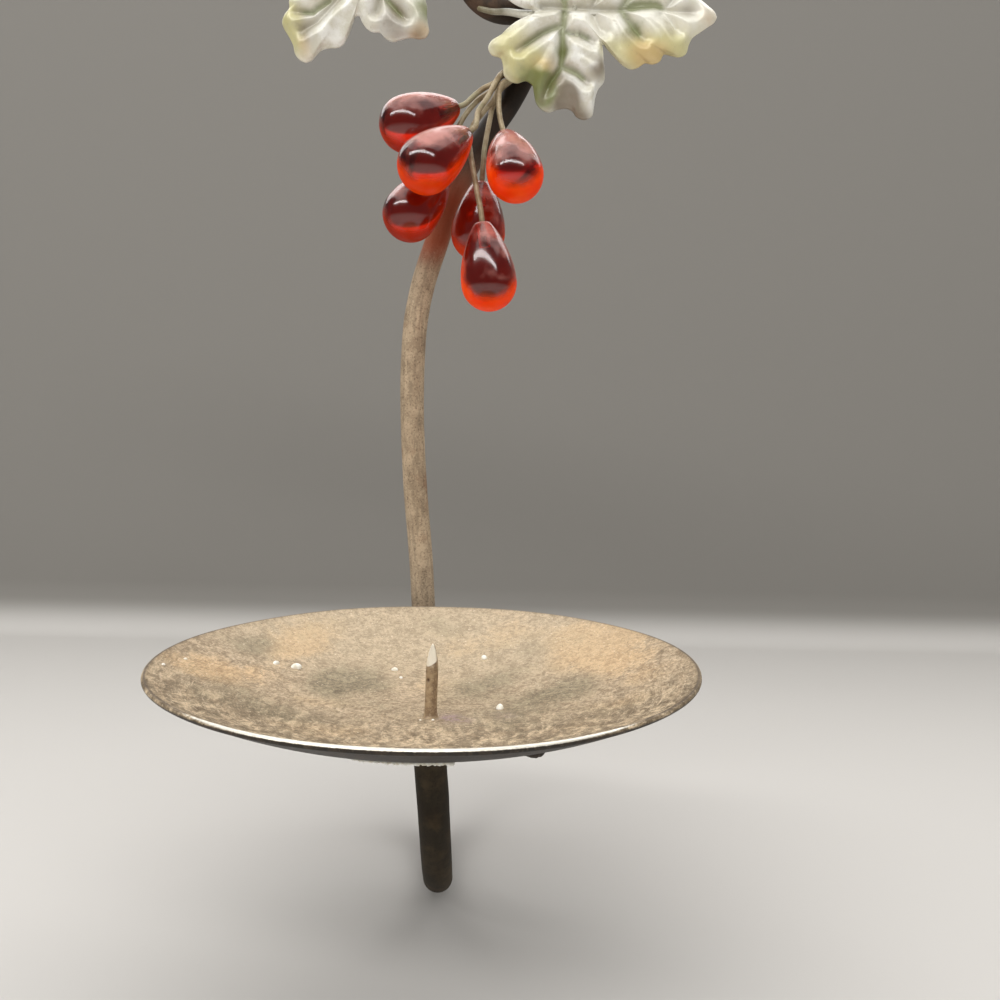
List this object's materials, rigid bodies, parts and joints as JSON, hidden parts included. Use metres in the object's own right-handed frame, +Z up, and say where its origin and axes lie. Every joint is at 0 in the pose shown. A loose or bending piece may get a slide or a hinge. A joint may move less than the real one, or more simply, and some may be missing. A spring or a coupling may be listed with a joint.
{
  "type": "wall candle sconce",
  "caption": "Wall candle sconce: a bent iron rod with a hanging eye, a round spiked dish on a forward bend, stamped leaves and glassy drop berries on wires.",
  "frame": {"origin": "point of the wall plane behind the inner top of the hanging eye, where the hook bears", "axes": "+Z up, +Y into the wall, +X to the right as the sconce is seen from the room"},
  "size_m": [0.1494, 0.1699, 0.304],
  "materials": {
    "rod": "tan bronze lacquer, dark brown at the eye and in the bend, satin",
    "dish": "mottled tan, brown and grey bronze lacquer, satin",
    "spike": "bare tip, brown lacquer below",
    "leaf": "pearl enamel, green in the furrows, glossy",
    "stalk": "olive and white enamel, glossy",
    "wire": "tan and olive lacquer, satin",
    "berry": "clear red, glossy"
  },
  "bodies": {
    "root": {"vine_rod": "rod", "dish": "dish", "spike": "spike", "leaf_right": "leaf", "leaf_left": "leaf", "leaf_stalk_right": "stalk", "leaf_stalk_left": "stalk", "berry_1": "berry", "berry_2": "berry", "berry_3": "berry", "berry_4": "berry", "berry_5": "berry", "berry_6": "berry", "berry_wire_1": "wire", "berry_wire_2": "wire", "berry_wire_3": "wire", "berry_wire_4": "wire", "berry_wire_5": "wire", "berry_wire_6": "wire"}
  },
  "joints": []
}
